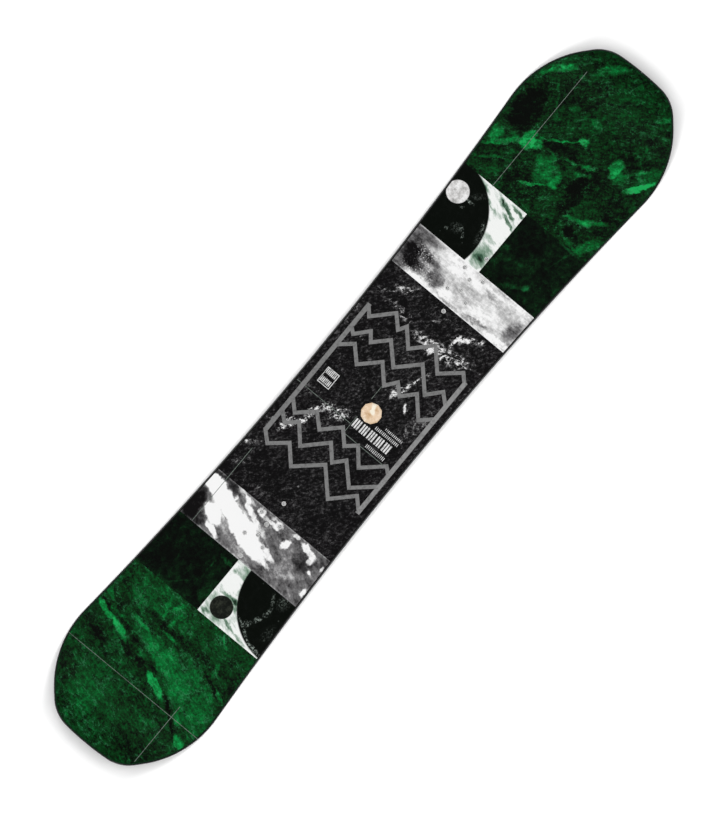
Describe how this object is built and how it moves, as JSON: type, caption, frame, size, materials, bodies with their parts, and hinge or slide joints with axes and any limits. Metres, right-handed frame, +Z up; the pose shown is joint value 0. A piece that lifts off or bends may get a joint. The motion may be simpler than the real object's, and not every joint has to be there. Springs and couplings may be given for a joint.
{
  "type": "snowboard",
  "caption": "Twin-tip snowboard in full sandwich construction with steel edges, wood core, threaded binding inserts and a small bonded stud stomp pad.",
  "frame": {"origin": "under the middle of the board, at the height of the snow it stands on", "axes": "+X along the board towards the tip, +Y across the board, +Z up out of the topsheet"},
  "size_m": [1.6114, 0.3184, 0.0518],
  "materials": {
    "topsheet": "clear polymer topsheet over a printed marble, stone and moon pattern, satin gloss",
    "fibreglass": "cured epoxy and glass cloth, translucent straw colour",
    "base": "sintered polyethylene, fine stone-ground structure",
    "edge_steel": "ground steel edge, fine lengthwise grind marks",
    "rubber_foil": "thin damping foil, dull black",
    "sidewall": "milled ABS, satin black",
    "core_light_wood": "planed poplar",
    "core_dark_wood": "planed beech",
    "insert_steel": "turned stainless steel",
    "stomp_pad": "moulded peach-coloured polymer, cut like a stone, glossy",
    "adhesive_tape": "foam mounting tape, dull grey"
  },
  "bodies": {
    "root": {"topsheet": "topsheet", "top_fibreglass": "fibreglass", "bottom_fibreglass": "fibreglass", "base": "base", "steel_edge_left": "edge_steel", "steel_edge_right": "edge_steel", "rubber_foil_left": "rubber_foil", "rubber_foil_right": "rubber_foil", "sidewall_left": "sidewall", "sidewall_right": "sidewall", "tip_spacer": "sidewall", "tail_spacer": "sidewall", "core_strip_01": "core_light_wood", "core_strip_02": "core_dark_wood", "core_strip_03": "core_light_wood", "core_strip_04": "core_dark_wood", "core_strip_05": "core_light_wood", "core_strip_06": "core_dark_wood", "core_strip_07": "core_light_wood", "core_strip_08": "core_dark_wood", "core_strip_09": "core_light_wood", "core_strip_10": "core_dark_wood", "core_strip_11": "core_light_wood", "core_strip_12": "core_dark_wood", "core_strip_13": "core_light_wood", "insert_front_1": "insert_steel", "insert_front_2": "insert_steel", "insert_front_3": "insert_steel", "insert_front_4": "insert_steel", "insert_front_5": "insert_steel", "insert_front_6": "insert_steel", "insert_front_7": "insert_steel", "insert_front_8": "insert_steel", "insert_rear_1": "insert_steel", "insert_rear_2": "insert_steel", "insert_rear_3": "insert_steel", "insert_rear_4": "insert_steel", "insert_rear_5": "insert_steel", "insert_rear_6": "insert_steel", "insert_rear_7": "insert_steel", "insert_rear_8": "insert_steel", "stomp_pad_tape": "adhesive_tape", "stomp_pad": "stomp_pad"}
  },
  "joints": []
}
